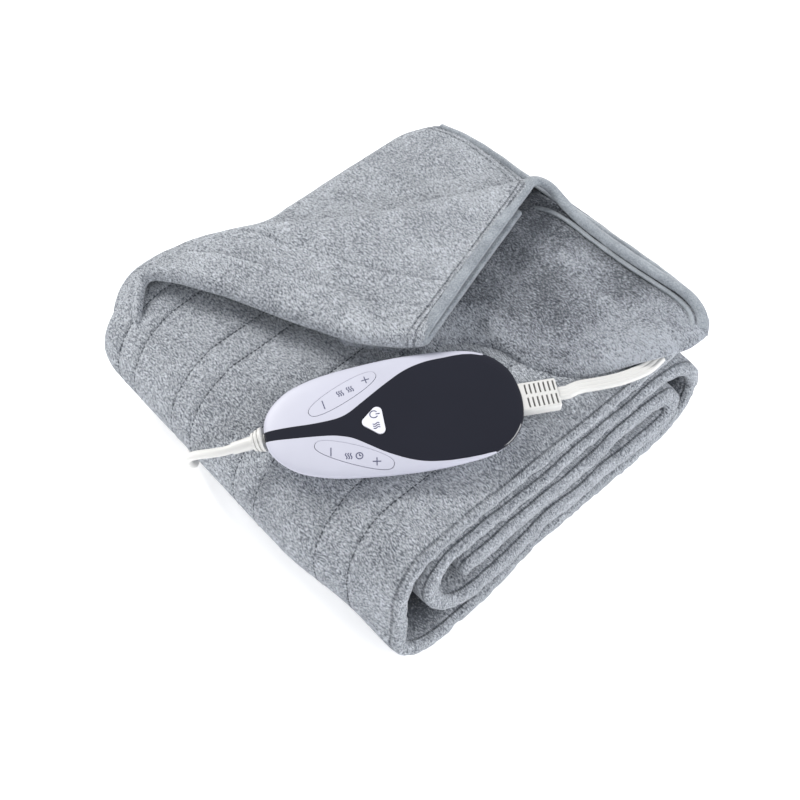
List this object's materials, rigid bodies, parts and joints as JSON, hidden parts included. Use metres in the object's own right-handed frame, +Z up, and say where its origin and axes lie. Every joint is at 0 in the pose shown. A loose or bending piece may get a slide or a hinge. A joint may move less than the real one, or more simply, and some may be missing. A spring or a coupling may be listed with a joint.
{
  "type": "electric heated blanket",
  "caption": "Plush electric heated throw folded into a square pile, with a corded hand control on top that has a power key and rocker keys.",
  "frame": {"origin": "on the surface it rests on, under the middle of the pile's outline", "axes": "+Z up out of the pile, X across the folds from the left fold to the right fold, -Y towards the stacked front edges"},
  "size_m": [0.3292, 0.3441, 0.1194],
  "materials": {
    "plush": "short soft pile",
    "edge_tape": "smooth woven tape",
    "cord": "satin, flexible",
    "shell": "satin",
    "window": "high gloss",
    "key": "satin",
    "tie": "matte",
    "pin_metal": "plain"
  },
  "bodies": {
    "pile": {"binding_flap": "edge_tape", "binding_outer": "edge_tape", "binding_panel": "edge_tape", "blanket": "plush", "blanket_lead": "cord", "control_base": "shell", "control_cover": "shell", "control_window": "window", "hank_tie_back": "tie", "hank_tie_front": "tie", "lead_relief": "cord", "mains_cord": "cord", "mains_hank": "cord", "mains_relief": "cord", "mains_tail": "cord", "plug": "cord", "plug_pin_back": "pin_metal", "plug_pin_front": "pin_metal"},
    "power_key": {"power_key": "key"},
    "rocker_far": {"rocker_far": "shell"},
    "rocker_near": {"rocker_near": "shell"}
  },
  "joints": [
    {"name": "power_press", "type": "slide", "parent": "pile", "child": "power_key", "axis": [0.027, 0.0449, -0.9986], "range_m": [0, 0.0006], "stiffness_N_per_m": 800},
    {"name": "far_rock", "type": "hinge", "parent": "pile", "child": "rocker_far", "pos_m": [-0.07643, -0.02362, 0.1004], "axis": [0.0865, 0.9951, 0.047], "range_deg": [-2, 2], "stiffness_Nm_per_rad": 0.9},
    {"name": "near_rock", "type": "hinge", "parent": "pile", "child": "rocker_near", "pos_m": [-0.09926, -0.06163, 0.09808], "axis": [0.838, 0.5436, 0.047], "range_deg": [-2, 2], "stiffness_Nm_per_rad": 0.9}
  ]
}
